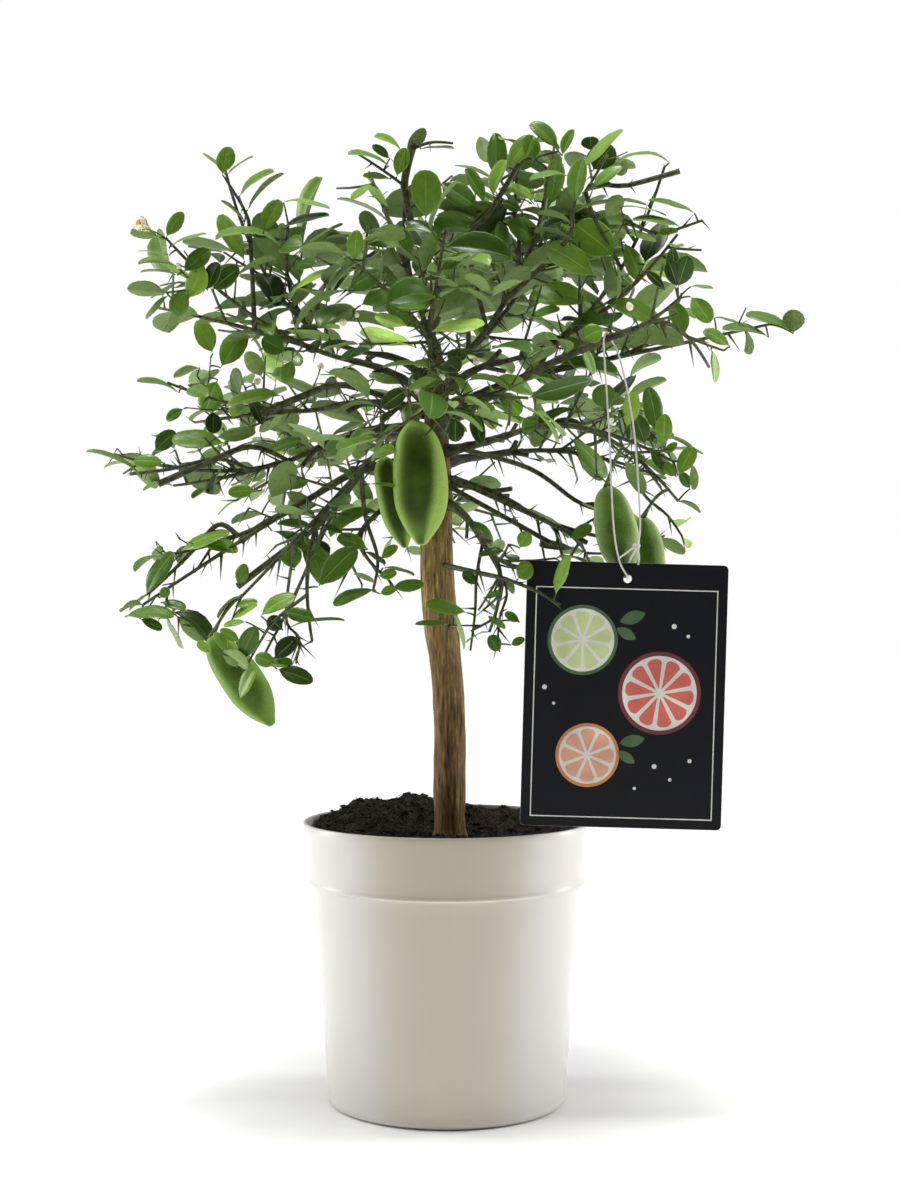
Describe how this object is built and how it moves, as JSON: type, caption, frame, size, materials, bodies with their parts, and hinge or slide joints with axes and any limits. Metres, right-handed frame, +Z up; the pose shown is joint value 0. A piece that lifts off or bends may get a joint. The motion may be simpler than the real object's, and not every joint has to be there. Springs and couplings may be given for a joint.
{
  "type": "potted finger lime tree",
  "caption": "Young finger lime tree with a clear trunk, a loose leafy crown and hanging finger-shaped fruit, in a round plastic pot of soil, with a hang tag on a string.",
  "frame": {"origin": "centre of the pot's flat underside, on the surface that the pot stands on", "axes": "+Z up, the front with the tag towards -Y, +X to the right seen from the front"},
  "size_m": [0.4618, 0.3747, 0.651],
  "materials": {
    "pot": "glossy moulded plastic, warm white",
    "soil": "dark fibrous peat",
    "trunk": "fine ridged brown-grey bark",
    "bough": "smooth dark green-brown bark",
    "foliage": "glossy green leaves",
    "tag_card": "satin dark printed card",
    "tag_string": "thin white cotton string"
  },
  "bodies": {
    "root": {"pot": "pot", "soil": "soil", "trunk": "trunk", "bough_leader": "bough", "bough_top_right": "bough", "bough_top_back": "bough", "bough_right_high": "bough", "bough_right_far": "bough", "bough_left_high": "bough", "bough_left_up": "bough", "bough_front_high": "bough", "bough_tag": "bough", "bough_back_high": "bough", "bough_left_far": "bough", "bough_left_mid": "bough", "bough_right_mid": "bough", "bough_right_back": "bough", "bough_right_low": "bough", "bough_left_low": "bough", "bough_front_left": "bough", "bough_front_right": "bough", "bough_low_left": "bough", "bough_back_low": "bough", "bough_back_left": "bough", "bough_front_mid": "bough", "leaves_leader": "foliage", "leaves_top_right": "foliage", "leaves_top_back": "foliage", "leaves_right_high": "foliage", "leaves_right_far": "foliage", "leaves_left_high": "foliage", "leaves_left_up": "foliage", "leaves_front_high": "foliage", "leaves_tag": "foliage", "leaves_back_high": "foliage", "leaves_left_far": "foliage", "leaves_left_mid": "foliage", "leaves_right_mid": "foliage", "leaves_right_back": "foliage", "leaves_right_low": "foliage", "leaves_left_low": "foliage", "leaves_front_left": "foliage", "leaves_front_right": "foliage", "leaves_low_left": "foliage", "leaves_back_low": "foliage", "leaves_back_left": "foliage", "leaves_front_mid": "foliage", "leaves_trunk_front": "foliage", "tag_card": "tag_card", "tag_string": "tag_string"}
  },
  "joints": []
}
